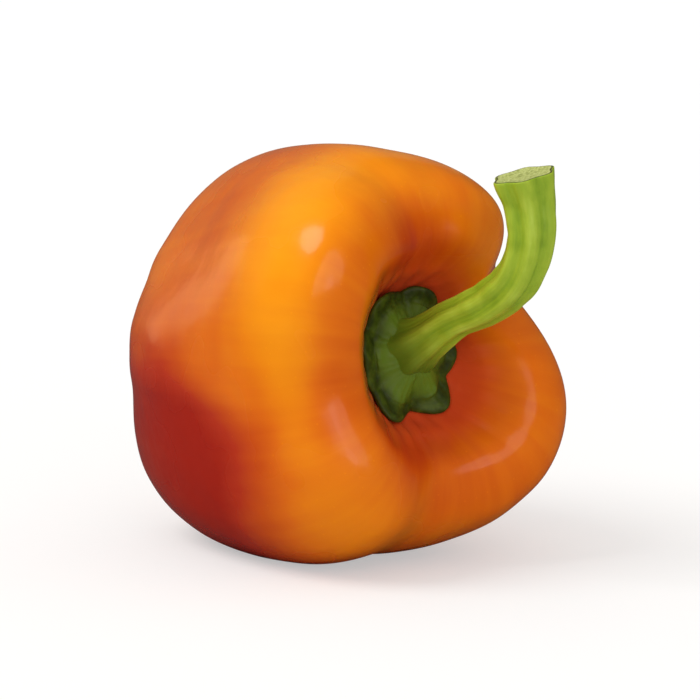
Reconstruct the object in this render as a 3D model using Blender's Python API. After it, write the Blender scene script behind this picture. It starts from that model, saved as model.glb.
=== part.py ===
# A sweet bell pepper as picked, lying on its side: the fruit, its green cap and its stem.
# Metres, +Z up. Its long way runs along X, with the stem at +X.
# The origin is on the floor, under the middle of the whole pepper.

from math import acos, atan2, cos, degrees, exp, pi, radians, sin, sqrt

import bmesh
import bpy
import numpy as np
from mathutils import Matrix, Vector

MM = 0.001

# Half outlines of the fruit in mm, as (distance from its axis, place along its axis).
# Both run from the floor of the stem cavity, over the shoulder, to the blossom end:
# one follows the crest of a lobe, the other the groove between two lobes.
CREST = [(0, 22), (11, 23), (17, 32), (24.5, 39), (35, 35.5), (41, 19),
         (40.5, -4), (36.5, -24), (28, -38.5), (14.5, -43), (0, -37)]
GROOVE = [(0, 22), (10, 22.5), (14, 27), (20, 31), (29.5, 28), (36, 15),
          (37, -3), (32.5, -21), (23, -33), (10.5, -37.5), (0, -37)]

# The lobes in turn, going round the axis from +Y towards +Z. Each starts at a groove, at so
# many degrees. The groove's depth and the lobe's reach and tail are shares of the outlines,
# where tail is how full it stays towards the blossom end. The shoulder's rise is in mm.
LOBES = [
    dict(start=27, groove=1.35, reach=0.92, rise=-0.3, tail=0.97),
    dict(start=102, groove=0.4, reach=1.12, rise=1.7, tail=0.75),
    dict(start=188, groove=0.35, reach=1.03, rise=0.0, tail=1.07),
    dict(start=266, groove=0.65, reach=1.02, rise=1.0, tail=1.03),
]
WIDTH = 0.90  # the cross-section's stretch sideways
HEIGHT = 1.04  # and upwards

# How soft the grooves are, from the cavity to the blossom end: small is a sharp crease
SOFTNESS_AT = [0.0, 0.3, 0.5, 0.65, 0.9, 1.0]
SOFTNESS = [0.25, 0.25, 0.6, 0.6, 0.3, 0.3]
SHOULDER_AT = 0.33  # place of the shoulder's crest along the outline
SHOULDER_REACH = 0.16
TAIL_FROM = 0.36
TAIL_LENGTH = 0.34

TILT = 6.0  # degrees that the stem end is raised by as the fruit lies
FLAT_DEPTH = 0.35  # mm that the resting spots are cut into the skin

# The cap: its edge is a share of the outline's length, with blunt points round it
CAP_EDGE = 0.134
CAP_POINTS = 6
CAP_POINT_REACH = 0.2
CAP_POINT_TURN = 63.0  # degrees
CAP_GAP = 0.4  # mm of air under the cap
CAP_HUB = 0.4  # share of the cap that is its hub
CAP_RIB = 0.5  # mm that a rib stands up, rising past the hub and dying out before the edge
CAP_RIB_START = 0.2
CAP_RIB_END = 0.3
# Its thickness in mm from the middle to the edge: a hub, a slope and a thin rim
CAP_THICKNESS_AT = [0.0, 0.3, 0.45, 0.6, 0.85, 1.0]
CAP_THICKNESS = [5.2, 5.1, 4.0, 3.0, 1.9, 0.9]

# The stem's route in mm from the middle of the fruit, as (along the axis, sideways, up)
STEM_ROUTE = [(28.3, 0.3, 2.6), (37, 2.2, 6.8), (46, 4.4, 10.2), (53.7, 5.8, 15.2),
              (57.3, 6.5, 22.2), (57.6, 6.3, 29), (57.8, 5.2, 34.4)]
STEM_RADIUS = [4.8, 3.8, 4.0, 4.3, 4.6, 5.1, 6.0]
STEM_RIBS = 6
STEM_RIB_SHARE = 0.055  # how far the ribs stand out, as a share of the radius

# Grid of each piece: steps round it and along it
FRUIT_GRID = (72, 44)
CAP_GRID = (60, 16)
STEM_GRID = (30, 24)


def clear_scene():
    for thing in list(bpy.data.objects):
        bpy.data.objects.remove(thing, do_unlink=True)


def smooth(x):
    # 0 to 1 with soft ends
    x = min(max(x, 0.0), 1.0)
    return x * x * (3 - 2 * x)


def spline(points, t):
    # point at t, 0 to 1, on the smooth curve through points; the first and the last only guide it
    spans = len(points) - 3
    place = min(max(t, 0.0), 1.0) * spans
    i = min(int(place), spans - 1)
    f = place - i
    a, b, c, d = [Vector(point) for point in points[i:i + 4]]
    bend = (2 * a - 5 * b + 4 * c - d) * f ** 2 + (3 * b - a - 3 * c + d) * f ** 3
    return 0.5 * (2 * b + (c - a) * f + bend)


def outline(points):
    # an outline that goes on past the axis at both ends as its own mirror image
    before = (-points[1][0], points[1][1])
    after = (-points[-2][0], points[-2][1])
    return [before] + points + [after]


def route(points):
    # a route that starts out along X and goes straight on past its last point
    first = (2 * points[0][0] - points[1][0], points[1][1], points[1][2])
    last = 2 * Vector(points[-1]) - Vector(points[-2])
    return [first] + points + [last]


CREST_LINE = outline(CREST)
GROOVE_LINE = outline(GROOVE)
STEM_LINE = route(STEM_ROUTE)
STEM_RADII = [(radius, 0) for radius in [STEM_RADIUS[0]] + STEM_RADIUS + [STEM_RADIUS[-1]]]


def fruit_point(along, angle):
    # point of the skin, in mm: along runs from 0 in the cavity to 1 at the blossom end
    turn = degrees(angle) % 360
    here = sum(lobe["start"] <= turn for lobe in LOBES) - 1
    lobe, following = LOBES[here], LOBES[(here + 1) % len(LOBES)]
    span = (following["start"] - lobe["start"]) % 360
    across = (turn - lobe["start"]) % 360 / span

    soft = float(np.interp(along, SOFTNESS_AT, SOFTNESS))
    crest_share = (sqrt(sin(pi * across) ** 2 + soft ** 2) - soft) / (sqrt(1 + soft ** 2) - soft)
    depth = lobe["groove"] + (following["groove"] - lobe["groove"]) * smooth(across)
    crest = spline(CREST_LINE, along)
    groove = spline(GROOVE_LINE, along)
    point = crest + (groove - crest) * (1 - crest_share) * depth

    reach = 1 + (lobe["reach"] - 1) * crest_share * min(along / SHOULDER_AT, 1)
    tail = 1 + (lobe["tail"] - 1) * crest_share * smooth((along - TAIL_FROM) / TAIL_LENGTH)
    rise = lobe["rise"] * crest_share * exp(-((along - SHOULDER_AT) / SHOULDER_REACH) ** 2)
    radius = point.x * reach * tail
    return Vector((point.y + rise, radius * cos(angle) * WIDTH, radius * sin(angle) * HEIGHT))


def outwards(along, angle):
    # which way the skin faces at a point
    step = 0.004
    down_axis = fruit_point(along + step, angle) - fruit_point(max(along - step, 0.001), angle)
    round_axis = fruit_point(along, angle + step) - fruit_point(along, angle - step)
    return down_axis.cross(round_axis).normalized()


def cap_point(side, along, angle):
    # point of the cap, in mm: side is 1 on top and -1 below, along is 0 at the hub and 1 at the edge
    points = abs(cos(CAP_POINTS / 2 * (angle - radians(CAP_POINT_TURN))))
    edge = CAP_EDGE * (1 + CAP_POINT_REACH * (points - 0.5))
    spot = max(along * edge, 0.002)
    rib = CAP_RIB * points ** 4
    rib *= smooth((along - CAP_HUB) / CAP_RIB_START) * smooth((1 - along) / CAP_RIB_END)
    thick = float(np.interp(along, CAP_THICKNESS_AT, CAP_THICKNESS)) + rib
    lift = CAP_GAP + thick if side > 0 else CAP_GAP
    if along > 0.999:
        lift = CAP_GAP + thick / 2
    up = Vector((1, 0, 0)).lerp(outwards(spot, angle), smooth((along - CAP_HUB) / CAP_HUB))
    floor = fruit_point(along * edge, angle)
    return floor + up.normalized() * lift


def stem_point(along, angle):
    # point of the stem's skin, in mm: along is 0 at the hub and 1 at the cut end
    step = 0.01
    middle = spline(STEM_LINE, along)
    forward = spline(STEM_LINE, min(along + step, 1)) - spline(STEM_LINE, max(along - step, 0))
    upper = forward.cross(Vector((0, 1, 0))).normalized()
    side = upper.cross(forward).normalized()
    radius = spline(STEM_RADII, along).x * (1 + STEM_RIB_SHARE * cos(STEM_RIBS * angle))
    return middle + (side * cos(angle) + upper * sin(angle)) * radius


def material(name, colour, roughness):
    made = bpy.data.materials.new(name)
    made.use_nodes = True
    shader = made.node_tree.nodes["Principled BSDF"]
    shader.inputs["Base Color"].default_value = (*colour, 1)
    shader.inputs["Roughness"].default_value = roughness
    shader.inputs["Metallic"].default_value = 0
    made.diffuse_color = (*colour, 1)
    return made


def finish(name, bm, look):
    # turns a shape in mm into a named object in metres
    bmesh.ops.scale(bm, vec=(MM, MM, MM), verts=bm.verts)
    bmesh.ops.recalc_face_normals(bm, faces=bm.faces)
    mesh = bpy.data.meshes.new(name)
    bm.to_mesh(mesh)
    bm.free()
    mesh.shade_smooth()
    mesh.set_sharp_from_angle(angle=radians(40))
    mesh.materials.append(look)
    piece = bpy.data.objects.new(name, mesh)
    return piece


def unit_sphere(grid):
    bm = bmesh.new()
    bmesh.ops.create_uvsphere(bm, u_segments=grid[0], v_segments=grid[1], radius=1)
    return bm


def make_fruit(lie):
    bm = unit_sphere(FRUIT_GRID)
    for vert in bm.verts:
        along = acos(min(max(vert.co.z, -1), 1)) / pi
        vert.co = fruit_point(along, atan2(vert.co.y, vert.co.x))

    # the resting spots: what lies below the floor is cut away, and the cuts are closed flat
    lowest = min((lie @ vert.co).z for vert in bm.verts)
    to_fruit = lie.inverted()
    floor = to_fruit @ Vector((0, 0, lowest + FLAT_DEPTH))
    down = to_fruit @ Vector((0, 0, -1))
    everything = bm.verts[:] + bm.edges[:] + bm.faces[:]
    bmesh.ops.bisect_plane(bm, geom=everything, plane_co=floor, plane_no=down, clear_outer=True)
    open_edges = [edge for edge in bm.edges if edge.is_boundary]
    bmesh.ops.holes_fill(bm, edges=open_edges, sides=0)
    skin = material("orange_pepper_skin", (0.71, 0.14, 0.006), 0.25)
    return finish("fruit", bm, skin), lowest + FLAT_DEPTH


def make_cap():
    bm = unit_sphere(CAP_GRID)
    for vert in bm.verts:
        from_pole = acos(min(max(vert.co.z, -1), 1)) / (pi / 2)
        side = 1 if from_pole < 1 else -1
        along = from_pole if side > 0 else 2 - from_pole
        vert.co = cap_point(side, along, atan2(vert.co.y, vert.co.x))
    green = material("dark_green_cap", (0.055, 0.085, 0.006), 0.5)
    return finish("calyx", bm, green)


def make_stem():
    around, steps = STEM_GRID
    bm = bmesh.new()
    bmesh.ops.create_cone(bm, cap_ends=True, segments=around, radius1=1, radius2=1, depth=1)
    long_edges = [edge for edge in bm.edges if edge.verts[0].co.z * edge.verts[1].co.z < 0]
    bmesh.ops.subdivide_edges(bm, edges=long_edges, cuts=steps)
    for vert in bm.verts:
        vert.co = stem_point(vert.co.z + 0.5, atan2(vert.co.y, vert.co.x))
    green = material("yellow_green_stem", (0.34, 0.45, 0.03), 0.45)
    return finish("stem", bm, green)


def main():
    clear_scene()
    lie = Matrix.Rotation(radians(-TILT), 3, "Y")
    fruit, floor = make_fruit(lie)
    pieces = [fruit, make_cap(), make_stem()]

    # one empty carries the pieces and lays them on the floor, with the origin under their middle
    corners = [lie @ vert.co for piece in pieces for vert in piece.data.vertices]
    middle = [(min(c[axis] for c in corners) + max(c[axis] for c in corners)) / 2 for axis in (0, 1)]
    holder = bpy.data.objects.new("bell_pepper_axis", None)
    holder.matrix_world = Matrix.Translation((-middle[0], -middle[1], -floor * MM)) @ lie.to_4x4()
    collection = bpy.data.collections.new("bell_pepper")
    bpy.context.scene.collection.children.link(collection)
    collection.objects.link(holder)
    for piece in pieces:
        piece.parent = holder
        collection.objects.link(piece)
    bpy.context.view_layer.update()


main()
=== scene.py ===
from math import acos, atan2, cos, degrees, exp, pi, radians, sin, sqrt

import bmesh
import bpy
import numpy as np
from mathutils import Matrix, Vector, noise


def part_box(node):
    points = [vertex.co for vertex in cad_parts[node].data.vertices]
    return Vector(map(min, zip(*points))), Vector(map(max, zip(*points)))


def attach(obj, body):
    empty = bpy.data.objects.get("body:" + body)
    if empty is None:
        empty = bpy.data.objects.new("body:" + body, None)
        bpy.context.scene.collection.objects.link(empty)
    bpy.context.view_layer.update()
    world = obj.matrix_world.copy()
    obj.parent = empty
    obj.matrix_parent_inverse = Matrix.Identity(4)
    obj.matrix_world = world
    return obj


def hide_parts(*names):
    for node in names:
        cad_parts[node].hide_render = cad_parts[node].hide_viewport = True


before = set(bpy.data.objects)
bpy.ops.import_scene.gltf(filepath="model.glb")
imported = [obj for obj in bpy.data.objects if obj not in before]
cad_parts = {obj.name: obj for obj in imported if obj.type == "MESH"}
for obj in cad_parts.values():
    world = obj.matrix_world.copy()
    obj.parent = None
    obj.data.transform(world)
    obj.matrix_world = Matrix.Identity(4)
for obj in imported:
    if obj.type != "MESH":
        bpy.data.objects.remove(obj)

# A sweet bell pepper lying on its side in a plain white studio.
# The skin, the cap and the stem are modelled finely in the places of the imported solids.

mm = 0.001
noiseRange = (0.3, 0.7)  # where nearly all values of a noise texture lie
scene = bpy.context.scene
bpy.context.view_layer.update()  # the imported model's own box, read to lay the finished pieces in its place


# camera, floor and lights

studio = {
    "azimuth": 54.0,  # degrees round the pepper, where 0 looks along +Y
    "elevation": 10.0,
    "aim": (-0.0057, 0.0023, 0.0393),
    "distance": 1.0,
    "width": 0.138,  # m seen across the picture at the aim point
    "sensor": 36.0,
    "seenAsFarAs": 200.0,
    "floorSize": 60.0,
    "floorColour": "#fbfbfa",
    "floorShine": 0.45,  # share of the paper's whiteness that is light of its own
    "floorBounce": 0.75,  # share of its light that the paper throws back up at the pepper
    "floorGlare": 0.08,  # and how bright it is as a reflection in the skin
    "floorSurface": {"Roughness": 0.9, "Specular IOR Level": 0.1},
    "roomLight": 0.70,  # strength of the even light from all round
    "roomGlare": 0.05,  # and how bright the room is as a reflection in the skin
    # each light: its direction as right, up and towards the camera, width in degrees, strength, colour
    "lights": {
        "keyLight": ((-0.62, 0.82, 0.24), 34.0, 1.25, "#fffdfa"),
        "fillLight": ((0.15, 0.14, 0.98), 60.0, 1.05, "#ffffff"),
        "glintLight": ((0.26, 0.00, 0.97), 16.0, 0.1, "#ffffff"),
        "flankLight": ((-0.69, 0.10, -0.72), 14.0, 0.04, "#ffdcaa"),
        "rimLight": ((-0.58, 0.20, -0.80), 90.0, 0.35, "#ffdcaa"),
    },
}


def linear(code):
    # an sRGB hex colour as linear red, green, blue and alpha
    parts = [int(code[i:i + 2], 16) / 255 for i in (1, 3, 5)]
    return [p / 12.92 if p <= 0.04045 else ((p + 0.055) / 1.055) ** 2.4 for p in parts] + [1.0]


def addNode(tree, kind, values=None, links=None, stops=None, **fields):
    # one node with its own fields, its input values, its incoming links and its ramp's stops
    node = tree.nodes.new(kind)
    for field, value in fields.items():
        setattr(node, field, value)
    for key, value in (values or {}).items():
        node.inputs[key].default_value = value
    for key, source in (links or {}).items():
        tree.links.new(source, node.inputs[key])
    if stops:
        ramp = node.color_ramp.elements
        while len(ramp) < len(stops):
            ramp.new(0.5)
        for element, (place, code) in zip(ramp, stops):
            element.position = place
            element.color = linear(code)
    return node


def stretch(source, target):
    # input values that carry one range over to another
    return {"From Min": source[0], "From Max": source[1], "To Min": target[0], "To Max": target[1]}


def startMaterial(name):
    # a new material, its shader, and the place on the piece in mm that its patterns hang on
    material = bpy.data.materials.new(name)
    material.use_nodes = True
    tree = material.node_tree
    where = addNode(tree, "ShaderNodeTexCoord")
    inMm = addNode(tree, "ShaderNodeMapping", {"Scale": (1 / mm,) * 3}, {"Vector": where.outputs["Object"]})
    return material, tree, tree.nodes["Principled BSDF"], inMm.outputs[0]


def setSurface(shader, surface):
    # what is the same all over a piece goes straight on the shader
    for socket, value in surface.items():
        shader.inputs[socket].default_value = value


def makeCamera(towards, aim):
    camera = bpy.data.objects.new("studioCamera", bpy.data.cameras.new("studioCamera"))
    camera.data.sensor_width = studio["sensor"]
    camera.data.lens = studio["sensor"] * studio["distance"] / studio["width"]
    camera.location = aim + towards * studio["distance"]
    camera.rotation_mode = "QUATERNION"
    camera.rotation_quaternion = (-towards).to_track_quat("-Z", "Y")
    camera.data.clip_end = studio["seenAsFarAs"]
    scene.collection.objects.link(camera)
    scene.camera = camera


def makeLights(towards, right, aim):
    nearer = Vector((towards.x, towards.y, 0)).normalized()  # level, towards the camera
    for name, (direction, width, strength, code) in studio["lights"].items():
        lamp = bpy.data.lights.new(name, "SUN")
        lamp.angle = radians(width)
        lamp.energy = strength
        lamp.color = linear(code)[:3]
        light = bpy.data.objects.new(name, lamp)
        fromHere = right * direction[0] + Vector((0, 0, direction[1])) + nearer * direction[2]
        light.location = aim + fromHere
        light.rotation_mode = "QUATERNION"
        light.rotation_quaternion = (-fromHere).to_track_quat("-Z", "Y")
        scene.collection.objects.link(light)


def makeRoom():
    # the room lights softly, mirrors weakly in the skin, and is plain white to the camera
    world = bpy.data.worlds.new("whiteRoom")
    world.use_nodes = True
    tree = world.node_tree
    tree.nodes.clear()
    ray = addNode(tree, "ShaderNodeLightPath")
    unseen = addNode(tree, "ShaderNodeMix", {2: studio["roomLight"], 3: studio["roomGlare"]},
                     {0: ray.outputs["Is Glossy Ray"]})
    strength = addNode(tree, "ShaderNodeMix", {3: 1.0},
                       {0: ray.outputs["Is Camera Ray"], 2: unseen.outputs[0]})
    room = addNode(tree, "ShaderNodeBackground", {"Color": linear("#ffffff")},
                   {"Strength": strength.outputs[0]})
    addNode(tree, "ShaderNodeOutputWorld", links={"Surface": room.outputs[0]})
    scene.world = world
    scene.view_settings.view_transform = "Standard"


def makeFloor():
    # paper sweep: matt and nearly white, so that little but the contact shadow shows
    paper = bpy.data.materials.new("matteWhitePaper")
    paper.use_nodes = True
    tree = paper.node_tree
    shader = tree.nodes["Principled BSDF"]
    paperWhite = linear(studio["floorColour"])[:3]
    shares = (1 - studio["floorShine"], studio["floorBounce"], studio["floorGlare"])
    white, bounce, glare = [[share * part for part in paperWhite] + [1.0] for share in shares]
    ray = addNode(tree, "ShaderNodeLightPath")
    unseen = addNode(tree, "ShaderNodeMix", {6: bounce, 7: glare},
                     {0: ray.outputs["Is Glossy Ray"]}, data_type="RGBA")
    seen = addNode(tree, "ShaderNodeMix", {7: white},
                   {0: ray.outputs["Is Camera Ray"], 6: unseen.outputs[2]}, data_type="RGBA")
    tree.links.new(seen.outputs[2], shader.inputs["Base Color"])
    shine = addNode(tree, "ShaderNodeMath", {1: studio["floorShine"]},
                    {0: ray.outputs["Is Camera Ray"]}, operation="MULTIPLY")
    shader.inputs["Emission Color"].default_value = linear("#ffffff")
    tree.links.new(shine.outputs[0], shader.inputs["Emission Strength"])
    setSurface(shader, studio["floorSurface"])

    bm = bmesh.new()
    bmesh.ops.create_grid(bm, x_segments=1, y_segments=1, size=studio["floorSize"] / 2)
    mesh = bpy.data.meshes.new("floor")
    bm.to_mesh(mesh)
    bm.free()
    mesh.materials.append(paper)
    floor = bpy.data.objects.new("floor", mesh)
    scene.collection.objects.link(floor)


def makeStudio():
    azimuth, elevation = radians(studio["azimuth"]), radians(studio["elevation"])
    towards = Vector((sin(azimuth) * cos(elevation), -cos(azimuth) * cos(elevation), sin(elevation)))
    right = Vector((cos(azimuth), sin(azimuth), 0))
    aim = Vector(studio["aim"])
    makeCamera(towards, aim)
    makeLights(towards, right, aim)
    makeRoom()
    makeFloor()


makeStudio()
print("studio ready")


# the fruit's form, in mm with its axis along X and its stem end at +X

fruit = {
    # half outlines as (distance from the axis, place along it), from the cavity to the blossom end
    "crest": [(0, 22), (11, 23), (17, 32), (24.5, 39), (35, 35.5), (41, 19),
              (40.5, -4), (36.5, -24), (28, -38.5), (14.5, -43), (0, -37)],
    "groove": [(0, 22), (10, 22.5), (14, 27), (20, 31), (29.5, 28), (36, 15),
               (37, -3), (32.5, -21), (23, -33), (10.5, -37.5), (0, -37)],
    # the lobes from +Y towards +Z: start in degrees, groove depth, reach, rise in mm and tail
    "lobes": [(27, 1.35, 0.92, -0.3, 0.97), (102, 0.4, 1.12, 1.7, 0.75),
              (188, 0.35, 1.03, 0.0, 1.07), (266, 0.65, 1.02, 1.0, 1.03)],
    "width": 0.90,
    "height": 1.04,
    # how softly the lobes roll over into the grooves, from the cavity to the blossom end
    "softnessAt": [0.0, 0.3, 0.5, 0.65, 0.9, 1.0],
    "softness": [0.25, 0.25, 0.6, 0.6, 0.3, 0.3],
    "shoulderAt": 0.33,
    "shoulderReach": 0.16,
    "tailFrom": 0.36,
    "tailLength": 0.34,
    "tilt": 6.0,  # degrees that the stem end is raised by
    "around": 216,  # grid steps round the fruit and along it
    "down": 110,
    "dents": 0.40,  # mm, broad shallow dents about 24 mm apart
    "dentSize": 24.0,
    "ripples": 0.10,  # mm, finer unevenness about 8 mm apart
    "rippleSize": 8.0,
    "swells": 0.30,  # mm, long shallow swells that run from end to end
    "swellsFadeOver": (0.3, 0.2),  # shares of the outline at the cavity and at the blossom end
    "folds": 0.30,  # mm, small folds that run into the stem cavity
    "foldCount": 23,
    "foldsAt": 0.17,
    "foldLength": 0.06,
    "foldWander": 2.5,
}


def smooth(x):
    # 0 to 1 with soft ends
    x = min(max(x, 0.0), 1.0)
    return x * x * (3 - 2 * x)


def ringNoise(angle, size, along):
    # noise that closes up round the axis, and swings more often the larger the size
    return noise.noise(Vector((cos(angle) * size, sin(angle) * size, along)))


def spline(points, t):
    # point at t, 0 to 1, on a smooth curve; the first and the last point only guide it
    spans = len(points) - 3
    place = min(max(t, 0.0), 1.0) * spans
    i = min(int(place), spans - 1)
    f = place - i
    a, b, c, d = [Vector(point) for point in points[i:i + 4]]
    bend = (2 * a - 5 * b + 4 * c - d) * f ** 2 + (3 * b - a - 3 * c + d) * f ** 3
    return 0.5 * (2 * b + (c - a) * f + bend)


def mirroredEnds(points):
    # an outline that goes on past the axis as its own mirror image
    return [(-points[1][0], points[1][1])] + points + [(-points[-2][0], points[-2][1])]


crestLine = mirroredEnds(fruit["crest"])
grooveLine = mirroredEnds(fruit["groove"])


def lobeAt(angle):
    # the lobe at an angle, its neighbour, and how far across it the angle lies
    turn = degrees(angle) % 360
    lobes = fruit["lobes"]
    here = sum(lobe[0] <= turn for lobe in lobes) - 1
    lobe, following = lobes[here], lobes[(here + 1) % len(lobes)]
    return lobe, following, (turn - lobe[0]) % 360 / ((following[0] - lobe[0]) % 360)


def crestShare(along, across):
    # 1 on the crest of a lobe and 0 in a groove
    soft = float(np.interp(along, fruit["softnessAt"], fruit["softness"]))
    return (sqrt(sin(pi * across) ** 2 + soft ** 2) - soft) / (sqrt(1 + soft ** 2) - soft)


def fruitPoint(along, angle):
    # point of the skin: along runs from 0 in the cavity to 1 at the blossom end
    (start, depth, reach, rise, tail), following, across = lobeAt(angle)
    share = crestShare(along, across)
    depth += (following[1] - depth) * smooth(across)
    crest, groove = spline(crestLine, along), spline(grooveLine, along)
    point = crest + (groove - crest) * (1 - share) * depth
    point.x *= 1 + (reach - 1) * share * min(along / fruit["shoulderAt"], 1)
    point.x *= 1 + (tail - 1) * share * smooth((along - fruit["tailFrom"]) / fruit["tailLength"])
    point.y += rise * share * exp(-((along - fruit["shoulderAt"]) / fruit["shoulderReach"]) ** 2)
    sideways, upwards = cos(angle) * fruit["width"], sin(angle) * fruit["height"]
    return Vector((point.y, point.x * sideways, point.x * upwards))


def unevenness(point, along, angle):
    # mm that the skin stands out or in by, beyond the lobes
    broad = fruit["dents"] * noise.noise(point / fruit["dentSize"])
    fine = fruit["ripples"] * noise.noise(point / fruit["rippleSize"])
    nearCavity, nearBlossom = fruit["swellsFadeOver"]
    belly = smooth(along / nearCavity) * smooth((1 - along) / nearBlossom)
    swell = fruit["swells"] * belly * ringNoise(angle, 4, along * 1.5)
    # the folds crowd on the cavity's wall and die out over the shoulder
    wall = exp(-((along - fruit["foldsAt"]) / fruit["foldLength"]) ** 2)
    wander = ringNoise(angle, 2, along * 6) * fruit["foldWander"]
    strength = 0.5 + 0.8 * ringNoise(angle, 5, 3.0)
    fold = fruit["folds"] * wall * strength * cos(fruit["foldCount"] * angle + wander)
    return broad + fine + swell + fold


def makeMesh(name, bm, material):
    mesh = bpy.data.meshes.new(name)
    bm.to_mesh(mesh)
    bm.free()
    mesh.shade_smooth()
    mesh.materials.append(material)
    piece = bpy.data.objects.new(name, mesh)
    scene.collection.objects.link(piece)
    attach(piece, "root")
    return piece


def subdivide(piece, levels):
    finer = piece.modifiers.new("finer", "SUBSURF")
    finer.levels = levels
    finer.render_levels = levels


# pepper skin: a thin clear waxy cuticle over a fleshy orange wall, with soft broad highlights, a sharper
# glint on top and a faint streak from end to end. Painted shade reddens its grooves, cavity and one low
# side; a painted light band yellows the shoulder.

skinLook = {
    "stops": [(0.0, "#a01a05"), (0.18, "#b22e10"), (0.36, "#c64c08"),
              (0.55, "#da6808"), (0.75, "#ea8404"), (1.0, "#f79a06")],
    "middle": 0.57,  # place on the ramp above of plain ripe skin
    "crest": 0.10,  # how much yellower the crests are than the grooves, as painted shade in the grooves
    "paintedLightBand": 0.34,  # the painted light band over the shoulder, yellower where the light falls, at its strongest
    "bandAt": 0.45,
    "bandWidth": 0.07,
    "bandTurn": 142.0,  # degrees round the fruit where the band is strongest
    "bandFade": 42.0,
    "bandFaintest": 0.12,  # what is left of it on the far side
    "bandDrift": 0.015,  # how far it has drifted towards the cavity at its lower end
    "bandTaper": 0.5,  # and how much narrower it is there
    "bandWander": 0.03,
    "lowerFrom": 150.0,  # degrees round the fruit where the band's lower end starts
    "lowerOver": 45.0,
    "flank": 0.10,  # how much redder the skin gets towards the blossom end, partly riper skin and partly painted shade
    "flankFrom": 0.48,
    "flankOver": 0.15,
    "paintedShade": 0.50,  # how much redder the painted shade patch is, low on one side
    "paintedShadeTurn": 220.0,
    "paintedShadeWidth": 36.0,
    "paintedShadeFrom": 0.505,
    "paintedShadeSoft": 0.10,
    "paintedShadeWander": 0.05,
    # above this angle it starts further from the cavity: over how many degrees, and by how much
    "paintedShadeUpper": (198.0, 30.0, 0.10),
    "paintedShadeEnd": 0.16,  # and it fades over this share before the blossom end
    "cavityFrom": 0.21,  # how far out along the wall the cavity's painted shade starts
    # where it starts further out: the angle, how wide that stretch is, and by how much
    "cavityStretches": [(100.0, 28.0, 0.13), (238.0, 32.0, 0.11)],
    "cavityShadeDepth": 0.26,
    "cavitySoft": 0.12,
    "cavity": "#e04c26",  # painted shade, red, where the wall folds right in
    "cavityFade": (0.25, 0.12),
    "cavityShadeMix": 0.85,
    "patchSize": 22.0,  # mm
    "patches": 0.07,
    "streakTurns": 9.0,
    "streakStretch": 0.35,  # the smaller, the longer the streaks run
    "streaks": 0.03,
    "poreSpacing": 1.9,  # mm
    "poreEdge": (0.14, 0.05),  # shares of that spacing from a pore's edge to its middle
    "pores": 0.07,  # how much paler the tiny pores are
    "scar": "#6b4a22",
    "scarFade": (0.978, 0.99),
    # faint orange-peel of the cells under the wax, and longer waves: size and depth in mm, strength
    "peel": (1.1, 0.05, 0.5),
    "waves": (5.0, 0.35, 0.6),
    "roughness": (0.19, 0.31),  # from its glossiest to its dullest patches
    "surface": {"IOR": 1.45, "Specular IOR Level": 0.15, "Subsurface Weight": 0.12,
                "Subsurface Radius": (1.0, 0.35, 0.1), "Subsurface Scale": 2.5 * mm,
                "Coat Weight": 0.4, "Coat Roughness": 0.16},
}


def turnFrom(angle, middle):
    # degrees between an angle and a middle, either way round
    return abs((degrees(angle) - middle + 180) % 360 - 180)


def paintedLightBand(along, angle, wander):
    # 1 in the middle of the painted light band over the shoulder
    look = skinLook
    lower = smooth((degrees(angle) % 360 - look["lowerFrom"]) / look["lowerOver"])
    place = look["bandAt"] - look["bandDrift"] * lower + look["bandWander"] * wander
    width = look["bandWidth"] * (1 - look["bandTaper"] * lower)
    near = smooth(1.8 - turnFrom(angle, look["bandTurn"]) / look["bandFade"])
    faintest = look["bandFaintest"]
    return exp(-((along - place) / width) ** 2) * (faintest + (1 - faintest) * near)


def paintedShadePatch(along, angle, wander):
    # 1 in the middle of the painted shade patch, low on one side
    look = skinLook
    upperTurn, upperOver, later = look["paintedShadeUpper"]
    upper = smooth((upperTurn - degrees(angle) % 360) / upperOver)
    edge = look["paintedShadeFrom"] + later * upper + look["paintedShadeWander"] * wander
    paintedShade = smooth((along - edge) / look["paintedShadeSoft"] + 0.5)
    paintedShade *= smooth(1.6 - turnFrom(angle, look["paintedShadeTurn"]) / look["paintedShadeWidth"])
    return paintedShade * smooth((1 - along) / look["paintedShadeEnd"])


def skinToneWithPaintedLight(along, angle, share):
    # place on the skin's colour ramp, from deep red to golden orange, with painted light and painted shade
    # added in
    look = skinLook
    wander = ringNoise(angle, 1.6, along * 4)
    # painted shade: a redder, darker tone inside the cavity's rim
    rim = look["cavityFrom"]
    for turn, width, further in look["cavityStretches"]:
        rim += further * exp(-(turnFrom(angle, turn) / width) ** 2)
    inside = smooth((rim - along) / look["cavitySoft"] + 0.5)
    # painted shade: the grooves redder than the crests
    tone = look["middle"] + look["crest"] * (share - 0.6)
    # painted light: a yellower band where the light falls on the shoulder
    tone += look["paintedLightBand"] * paintedLightBand(along, angle, wander)
    tone -= look["flank"] * smooth((along - look["flankFrom"]) / look["flankOver"])
    # painted shade: the deep red patch low on one side, and the cavity's darker tone
    return tone - look["paintedShade"] * paintedShadePatch(along, angle, wander) - look["cavityShadeDepth"] * inside


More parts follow.
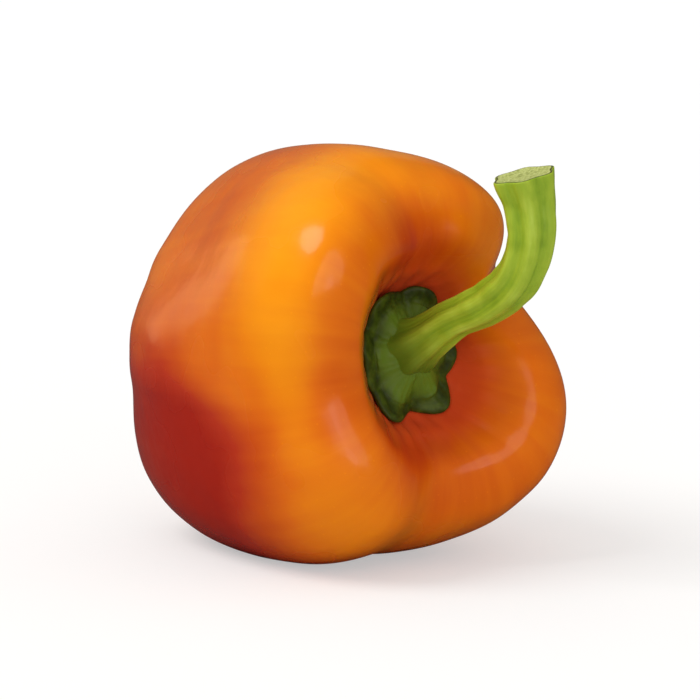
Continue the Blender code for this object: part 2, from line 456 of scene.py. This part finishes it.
def makeSkinMaterial():
    material, tree, shader, inMm = startMaterial("waxyPepperSkin")
    along = addNode(tree, "ShaderNodeAttribute", attribute_name="along")
    toneWithPaintedLight = addNode(tree, "ShaderNodeAttribute", attribute_name="toneWithPaintedLight")
    flow = addNode(tree, "ShaderNodeAttribute", attribute_name="flow")

    patches = addNode(tree, "ShaderNodeTexNoise", {"Scale": 1 / skinLook["patchSize"], "Detail": 2.0},
                      {"Vector": inMm})
    streaks = addNode(tree, "ShaderNodeTexNoise", {"Scale": skinLook["streakTurns"], "Detail": 3.0},
                      {"Vector": flow.outputs["Vector"]})
    pores = addNode(tree, "ShaderNodeTexVoronoi", {"Scale": 1 / skinLook["poreSpacing"]}, {"Vector": inMm})
    fromPatch = addNode(tree, "ShaderNodeMapRange",
                        stretch(noiseRange, (-skinLook["patches"], skinLook["patches"])),
                        {"Value": patches.outputs["Fac"]}, interpolation_type="SMOOTHSTEP")
    fromStreak = addNode(tree, "ShaderNodeMapRange",
                         stretch(noiseRange, (-skinLook["streaks"], skinLook["streaks"])),
                         {"Value": streaks.outputs["Fac"]}, interpolation_type="SMOOTHSTEP")
    fromPore = addNode(tree, "ShaderNodeMapRange", stretch(skinLook["poreEdge"], (0.0, skinLook["pores"])),
                       {"Value": pores.outputs["Distance"]}, interpolation_type="SMOOTHSTEP")
    tone = toneWithPaintedLight.outputs["Fac"]
    for change in (fromPatch, fromStreak, fromPore):
        added = addNode(tree, "ShaderNodeMath", links={0: tone, 1: change.outputs[0]}, operation="ADD")
        tone = added.outputs[0]
    base = addNode(tree, "ShaderNodeValToRGB", links={"Fac": tone}, stops=skinLook["stops"])

    # painted shade: redder where the wall folds into the cavity
    inCavityShade = addNode(tree, "ShaderNodeMapRange",
                       stretch(skinLook["cavityFade"], (0.0, skinLook["cavityShadeMix"])),
                       {"Value": along.outputs["Fac"]}, interpolation_type="SMOOTHSTEP")
    shadedInCavity = addNode(tree, "ShaderNodeMix", {7: linear(skinLook["cavity"])},
                     {0: inCavityShade.outputs[0], 6: base.outputs["Color"]}, data_type="RGBA")
    # dry scar where the blossom fell off
    atScar = addNode(tree, "ShaderNodeMapRange", stretch(skinLook["scarFade"], (0.0, 1.0)),
                     {"Value": along.outputs["Fac"]}, interpolation_type="SMOOTHSTEP")
    coloured = addNode(tree, "ShaderNodeMix", {7: linear(skinLook["scar"])},
                       {0: atScar.outputs[0], 6: shadedInCavity.outputs[2]}, data_type="RGBA")
    tree.links.new(coloured.outputs[2], shader.inputs["Base Color"])

    peelSize, peelDepth, peelStrength = skinLook["peel"]
    waveSize, waveDepth, waveStrength = skinLook["waves"]
    peel = addNode(tree, "ShaderNodeTexNoise", {"Scale": 1 / peelSize, "Detail": 2.0}, {"Vector": inMm})
    waves = addNode(tree, "ShaderNodeTexNoise", {"Scale": 1 / waveSize, "Detail": 1.0}, {"Vector": inMm})
    peelBump = addNode(tree, "ShaderNodeBump", {"Strength": peelStrength, "Distance": peelDepth * mm},
                       {"Height": peel.outputs["Fac"]})
    waveBump = addNode(tree, "ShaderNodeBump", {"Strength": waveStrength, "Distance": waveDepth * mm},
                       {"Height": waves.outputs["Fac"], "Normal": peelBump.outputs[0]})
    tree.links.new(waveBump.outputs[0], shader.inputs["Normal"])
    rough = addNode(tree, "ShaderNodeMapRange", stretch(noiseRange, skinLook["roughness"]),
                    {"Value": patches.outputs["Fac"]}, interpolation_type="SMOOTHSTEP")
    tree.links.new(rough.outputs[0], shader.inputs["Roughness"])
    setSurface(shader, skinLook["surface"])
    return material


def makeFruit():
    bm = bmesh.new()
    bmesh.ops.create_uvsphere(bm, u_segments=fruit["around"], v_segments=fruit["down"], radius=1)
    alongLayer = bm.verts.layers.float.new("along")
    paintedToneLayer = bm.verts.layers.float.new("toneWithPaintedLight")
    flowLayer = bm.verts.layers.float_vector.new("flow")
    for vert in bm.verts:
        along = acos(min(max(vert.co.z, -1), 1)) / pi
        angle = atan2(vert.co.y, vert.co.x)
        vert[alongLayer] = along
        vert[paintedToneLayer] = skinToneWithPaintedLight(along, angle, crestShare(along, lobeAt(angle)[2]))
        vert[flowLayer] = Vector((cos(angle), sin(angle), along * skinLook["streakStretch"]))
        vert.co = fruitPoint(along, angle)
    bm.normal_update()
    outward = {vert.index: vert.normal.copy() for vert in bm.verts}
    for vert in bm.verts:
        angle = atan2(vert[flowLayer].y, vert[flowLayer].x)
        vert.co += outward[vert.index] * unevenness(vert.co, vert[alongLayer], angle)

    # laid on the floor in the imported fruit's place, and pressed flat where it rests
    tilted = Matrix.Scale(mm, 4) @ Matrix.Rotation(radians(-fruit["tilt"]), 4, "Y")
    bmesh.ops.transform(bm, matrix=tilted, verts=bm.verts)
    low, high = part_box("fruit")
    mine = [[f(vert.co[axis] for vert in bm.verts) for axis in range(3)] for f in (min, max)]
    shift = Vector([(low[i] + high[i] - mine[0][i] - mine[1][i]) / 2 for i in range(3)])
    shift.z = high.z - mine[1][2]
    bmesh.ops.translate(bm, vec=shift, verts=bm.verts)
    for vert in bm.verts:
        vert.co.z = max(vert.co.z, 0)
    piece = makeMesh("pepperSkin", bm, makeSkinMaterial())
    subdivide(piece, 1)
    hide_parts("fruit")
    return Matrix.Translation(shift) @ tilted


layDown = makeFruit()
print("skin ready")


# the cap on the cavity's floor

cap = {
    "edge": 0.134,  # share of the fruit's outline that it covers
    "points": 6,
    "pointReach": 0.2,
    "pointTurn": 63.0,
    "gap": 0.15,  # mm under it, which the skin's own unevenness closes in places
    "rib": 0.6,
    # mm thick, from the hub to the edge
    "thicknessAt": [0.0, 0.3, 0.45, 0.6, 0.85, 1.0],
    "thickness": [5.2, 5.1, 4.0, 3.0, 1.9, 0.9],
    "around": 180,
    "down": 56,
    "veins": 30,
    "wrinkles": 0.22,  # mm
    "curl": 0.7,  # mm that the edge wavers by
    "unevenEdge": 0.10,
}


def outwards(along, angle):
    # which way the skin faces
    step = 0.004
    downAxis = fruitPoint(along + step, angle) - fruitPoint(max(along - step, 0.001), angle)
    roundAxis = fruitPoint(along, angle + step) - fruitPoint(along, angle - step)
    return downAxis.cross(roundAxis).normalized()


def pointShare(angle):
    # 1 along the middle of a point of the cap and 0 in the notch between two
    return abs(cos(cap["points"] / 2 * (angle - radians(cap["pointTurn"]))))


def capPoint(onTop, along, angle):
    # point of the cap: along is 0 at the hub and 1 at its edge
    points = pointShare(angle)
    uneven = ringNoise(angle, 1.7, 0.4)
    edge = cap["edge"] * (1 + cap["pointReach"] * (points - 0.5) + cap["unevenEdge"] * uneven)
    spot = max(along * edge, 0.002)
    outer = smooth((along - 0.4) / 0.2) * smooth((1 - along) / 0.3)
    rib = cap["rib"] * points ** 4 * outer
    thick = float(np.interp(along, cap["thicknessAt"], cap["thickness"])) + rib
    if onTop:
        place = Vector((cos(angle) * along * 6, sin(angle) * along * 6, 1.3))
        veins = cos(cap["veins"] * angle + 2 * noise.noise(place))
        thick += cap["wrinkles"] * (0.5 * veins * along + noise.noise(place * 1.5)) * smooth(along / 0.3)
    lift = cap["gap"] + (thick if onTop else 0)
    curling = max(0, 0.4 + ringNoise(angle, 3, 7))
    lift += cap["curl"] * smooth((along - 0.75) / 0.25) * curling
    if along > 0.999:
        lift += thick / 2 * (-1 if onTop else 1)
    up = Vector((1, 0, 0)).lerp(outwards(spot, angle), smooth((along - 0.4) / 0.4)).normalized()
    return fruitPoint(along * edge, angle) + up * lift


# cap: leathery dark green leaf tissue, half matt, paler along its ribs and where it meets the stem

capLook = {
    "stops": [(0.3, "#28330a"), (0.5, "#384508"), (0.7, "#4b5b0e")],
    "mottleSize": 2.5,  # mm
    "rib": "#5b6f12",
    "ribTint": 0.45,
    "hub": "#5f7818",
    "hubFade": (0.8, 0.4),
    "hubTint": 0.9,
    "grain": (0.7, 0.12, 0.5),  # size and depth in mm, strength
    "surface": {"Roughness": 0.48, "IOR": 1.42, "Specular IOR Level": 0.3},
}


def makeCapMaterial():
    material, tree, shader, inMm = startMaterial("leatheryGreenCap")
    along = addNode(tree, "ShaderNodeAttribute", attribute_name="along")
    ribs = addNode(tree, "ShaderNodeAttribute", attribute_name="ribs")
    mottle = addNode(tree, "ShaderNodeTexNoise", {"Scale": 1 / capLook["mottleSize"], "Detail": 3.0},
                     {"Vector": inMm})
    base = addNode(tree, "ShaderNodeValToRGB", links={"Fac": mottle.outputs["Fac"]}, stops=capLook["stops"])
    pale = addNode(tree, "ShaderNodeMath", {1: capLook["ribTint"]}, {0: ribs.outputs["Fac"]},
                   operation="MULTIPLY")
    ribbed = addNode(tree, "ShaderNodeMix", {7: linear(capLook["rib"])},
                     {0: pale.outputs[0], 6: base.outputs["Color"]}, data_type="RGBA")
    nearHub = addNode(tree, "ShaderNodeMapRange", stretch(capLook["hubFade"], (0.0, capLook["hubTint"])),
                      {"Value": along.outputs["Fac"]}, interpolation_type="SMOOTHSTEP")
    coloured = addNode(tree, "ShaderNodeMix", {7: linear(capLook["hub"])},
                       {0: nearHub.outputs[0], 6: ribbed.outputs[2]}, data_type="RGBA")
    tree.links.new(coloured.outputs[2], shader.inputs["Base Color"])
    size, depth, strength = capLook["grain"]
    grain = addNode(tree, "ShaderNodeTexNoise", {"Scale": 1 / size, "Detail": 3.0}, {"Vector": inMm})
    bump = addNode(tree, "ShaderNodeBump", {"Strength": strength, "Distance": depth * mm},
                   {"Height": grain.outputs["Fac"]})
    tree.links.new(bump.outputs[0], shader.inputs["Normal"])
    setSurface(shader, capLook["surface"])
    return material


def makeCap():
    bm = bmesh.new()
    bmesh.ops.create_uvsphere(bm, u_segments=cap["around"], v_segments=cap["down"], radius=1)
    alongLayer = bm.verts.layers.float.new("along")
    ribLayer = bm.verts.layers.float.new("ribs")
    for vert in bm.verts:
        fromPole = acos(min(max(vert.co.z, -1), 1)) / (pi / 2)
        onTop = fromPole < 1
        along = fromPole if onTop else 2 - fromPole
        angle = atan2(vert.co.y, vert.co.x)
        vert[alongLayer] = along
        vert[ribLayer] = pointShare(angle) ** 8 * smooth((1 - along) / 0.4)
        vert.co = capPoint(onTop, along, angle)
    bmesh.ops.transform(bm, matrix=layDown, verts=bm.verts)
    piece = makeMesh("greenCap", bm, makeCapMaterial())
    subdivide(piece, 1)
    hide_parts("calyx")


makeCap()
print("cap ready")


# the stem

stem = {
    # its middle line in mm from the middle of the fruit, as (along the axis, sideways, up)
    "route": [(25.0, 0.2, 1.6), (30, 0.6, 3.1), (37, 2.2, 6.8), (46, 4.4, 10.2), (53.7, 5.8, 15.2),
              (57.3, 6.5, 22.2), (57.6, 6.3, 29), (57.8, 5.2, 34.4)],
    "radius": [6.2, 4.6, 3.8, 4.0, 4.3, 4.6, 5.1, 5.9],
    "ribs": 6,
    "ribShare": 0.07,
    "twist": 1.2,  # radians that the ribs turn by from end to end
    "around": 84,
    "steps": 110,
    "knobs": 0.18,  # mm
    "knobSize": 3.0,
    "lines": 0.05,  # mm, fine lines along the stem
    "lineCount": 27,
    # the cut end's rings: inset and height in mm, and 0 for stem skin, 1 for pith or 2 for rim
    "cutRings": [(0.18, 0.10, 0), (0.4, 0.05, 2), (0.45, -0.12, 1), (1.2, -0.25, 1), (1.6, -0.1, 1)],
}

stemLook = {
    "stops": [(0.15, "#5f7a10"), (0.4, "#83a01a"), (0.62, "#9db32b"), (0.85, "#b4c745")],
    "furrowShade": 0.42,  # place on the ramp above of the furrows, darker as painted shade
    "rib": 0.22,  # and how much paler the ribs are than the furrows' painted shade
    "lineTurns": 6.0,
    "lineStretch": 1.2,
    "lines": 0.08,
    "mottleSize": 4.0,  # mm
    "mottle": 0.08,
    "foot": "#5f7818",
    "footFade": (0.26, 0.06),
    "footTint": 0.95,
    "lineBump": (0.12, 0.5),  # depth in mm, strength
    "surface": {"Roughness": 0.42, "IOR": 1.42, "Subsurface Weight": 0.08,
                "Subsurface Radius": (0.6, 1.0, 0.2), "Subsurface Scale": 1.5 * mm},
    "pith": [(0.0, "#c9cf8a"), (0.5, "#b3bb66"), (0.9, "#8f9748")],
    "fibreSize": 0.5,  # mm
    "fibreBump": (0.2, 0.6),
    "pithSurface": {"Roughness": 0.75},
    "rim": [(0.35, "#4a5a14"), (0.55, "#5e5f1e"), (0.7, "#3f3516")],
    "rimPatch": 3.0,  # mm
    "rimSurface": {"Roughness": 0.8},
}


def makeStemGreen():
    # stem: fleshy yellow-green shoot with a matt skin, with painted shade darker in its furrows, and darker
    # towards the cap
    material, tree, shader, inMm = startMaterial("ribbedGreenStem")
    along = addNode(tree, "ShaderNodeAttribute", attribute_name="along")
    ribs = addNode(tree, "ShaderNodeAttribute", attribute_name="ribs")
    flow = addNode(tree, "ShaderNodeAttribute", attribute_name="flow")
    lines = addNode(tree, "ShaderNodeTexNoise", {"Scale": stemLook["lineTurns"], "Detail": 4.0},
                    {"Vector": flow.outputs["Vector"]})
    mottle = addNode(tree, "ShaderNodeTexNoise", {"Scale": 1 / stemLook["mottleSize"], "Detail": 3.0},
                     {"Vector": inMm})
    # painted shade: the furrows darker than the ribs
    furrowShadeTone = addNode(tree, "ShaderNodeMath", {1: stemLook["rib"], 2: stemLook["furrowShade"]},
                      {0: ribs.outputs["Fac"]}, operation="MULTIPLY_ADD")
    fromLine = addNode(tree, "ShaderNodeMapRange",
                       stretch(noiseRange, (-stemLook["lines"], stemLook["lines"])),
                       {"Value": lines.outputs["Fac"]})
    fromMottle = addNode(tree, "ShaderNodeMapRange",
                         stretch(noiseRange, (-stemLook["mottle"], stemLook["mottle"])),
                         {"Value": mottle.outputs["Fac"]})
    tone = furrowShadeTone.outputs[0]
    for change in (fromLine, fromMottle):
        added = addNode(tree, "ShaderNodeMath", links={0: tone, 1: change.outputs[0]}, operation="ADD")
        tone = added.outputs[0]
    base = addNode(tree, "ShaderNodeValToRGB", links={"Fac": tone}, stops=stemLook["stops"])
    nearCap = addNode(tree, "ShaderNodeMapRange", stretch(stemLook["footFade"], (0.0, stemLook["footTint"])),
                      {"Value": along.outputs["Fac"]}, interpolation_type="SMOOTHSTEP")
    coloured = addNode(tree, "ShaderNodeMix", {7: linear(stemLook["foot"])},
                       {0: nearCap.outputs[0], 6: base.outputs["Color"]}, data_type="RGBA")
    tree.links.new(coloured.outputs[2], shader.inputs["Base Color"])
    depth, strength = stemLook["lineBump"]
    bump = addNode(tree, "ShaderNodeBump", {"Strength": strength, "Distance": depth * mm},
                   {"Height": lines.outputs["Fac"]})
    tree.links.new(bump.outputs[0], shader.inputs["Normal"])
    setSurface(shader, stemLook["surface"])
    return material


def makeStemPith():
    # cut end: pale fibrous pith that has begun to dry, matt
    material, tree, shader, inMm = startMaterial("dryingStemPith")
    fibres = addNode(tree, "ShaderNodeTexVoronoi", {"Scale": 1 / stemLook["fibreSize"]}, {"Vector": inMm})
    base = addNode(tree, "ShaderNodeValToRGB", links={"Fac": fibres.outputs["Distance"]},
                   stops=stemLook["pith"])
    tree.links.new(base.outputs["Color"], shader.inputs["Base Color"])
    depth, strength = stemLook["fibreBump"]
    bump = addNode(tree, "ShaderNodeBump", {"Strength": strength, "Distance": depth * mm},
                   {"Height": fibres.outputs["Distance"]})
    tree.links.new(bump.outputs[0], shader.inputs["Normal"])
    setSurface(shader, stemLook["pithSurface"])
    return material


def makeStemRim():
    # rim of the cut end: dried skin, brown-green and matt
    material, tree, shader, inMm = startMaterial("driedStemRim")
    drying = addNode(tree, "ShaderNodeTexNoise", {"Scale": 1 / stemLook["rimPatch"], "Detail": 3.0},
                     {"Vector": inMm})
    base = addNode(tree, "ShaderNodeValToRGB", links={"Fac": drying.outputs["Fac"]}, stops=stemLook["rim"])
    tree.links.new(base.outputs["Color"], shader.inputs["Base Color"])
    setSurface(shader, stemLook["rimSurface"])
    return material


def ribWave(along, angle):
    # 1 on the ribs of the stem and -1 in its furrows
    return cos(stem["ribs"] * angle + stem["twist"] * along)


def stemPoint(along, angle):
    # point of the stem's skin: along is 0 in the hub and 1 at the cut end
    points = stem["route"]
    first = (2 * points[0][0] - points[1][0], points[1][1], points[1][2])
    line = [first] + points + [2 * Vector(points[-1]) - Vector(points[-2])]
    radii = [(radius, 0) for radius in [stem["radius"][0]] + stem["radius"] + [stem["radius"][-1]]]
    step = 0.01
    forward = spline(line, min(along + step, 1)) - spline(line, max(along - step, 0))
    upper = forward.cross(Vector((0, 1, 0))).normalized()
    side = upper.cross(forward).normalized()
    middle = spline(line, along)
    radius = spline(radii, along).x * (1 + stem["ribShare"] * ribWave(along, angle))
    radius += stem["lines"] * cos(stem["lineCount"] * angle)
    radius += stem["knobs"] * noise.noise(middle / stem["knobSize"] + Vector((cos(angle), sin(angle), 0)))
    return middle + (side * cos(angle) + upper * sin(angle)) * radius


def makeStem():
    bm = bmesh.new()
    bmesh.ops.create_cone(bm, cap_ends=True, segments=stem["around"], radius1=1, radius2=1, depth=1)
    longEdges = [edge for edge in bm.edges if edge.verts[0].co.z * edge.verts[1].co.z < 0]
    bmesh.ops.subdivide_edges(bm, edges=longEdges, cuts=stem["steps"])
    alongLayer = bm.verts.layers.float.new("along")
    ribLayer = bm.verts.layers.float.new("ribs")
    flowLayer = bm.verts.layers.float_vector.new("flow")
    endFaces = [face for face in bm.faces if len(face.verts) > 4]
    cutFace = max(endFaces, key=lambda face: face.calc_center_median().z)
    for vert in bm.verts:
        along, angle = vert.co.z + 0.5, atan2(vert.co.y, vert.co.x)
        vert[alongLayer] = along
        vert[ribLayer] = 0.5 + 0.5 * ribWave(along, angle)
        vert[flowLayer] = Vector((cos(angle), sin(angle), along * stemLook["lineStretch"]))
        vert.co = stemPoint(along, angle)
    # the cut end: a rounded rim, then a face that has dried and sunk a little
    for inset, height, look in stem["cutRings"]:
        bmesh.ops.inset_individual(bm, faces=[cutFace], thickness=inset, depth=height)
        for face in {near for edge in cutFace.edges for near in edge.link_faces}:
            face.material_index = look
    bmesh.ops.transform(bm, matrix=layDown, verts=bm.verts)
    piece = makeMesh("greenStem", bm, makeStemGreen())
    piece.data.materials.append(makeStemPith())
    piece.data.materials.append(makeStemRim())
    subdivide(piece, 1)
    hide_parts("stem")


makeStem()
print("stem ready")
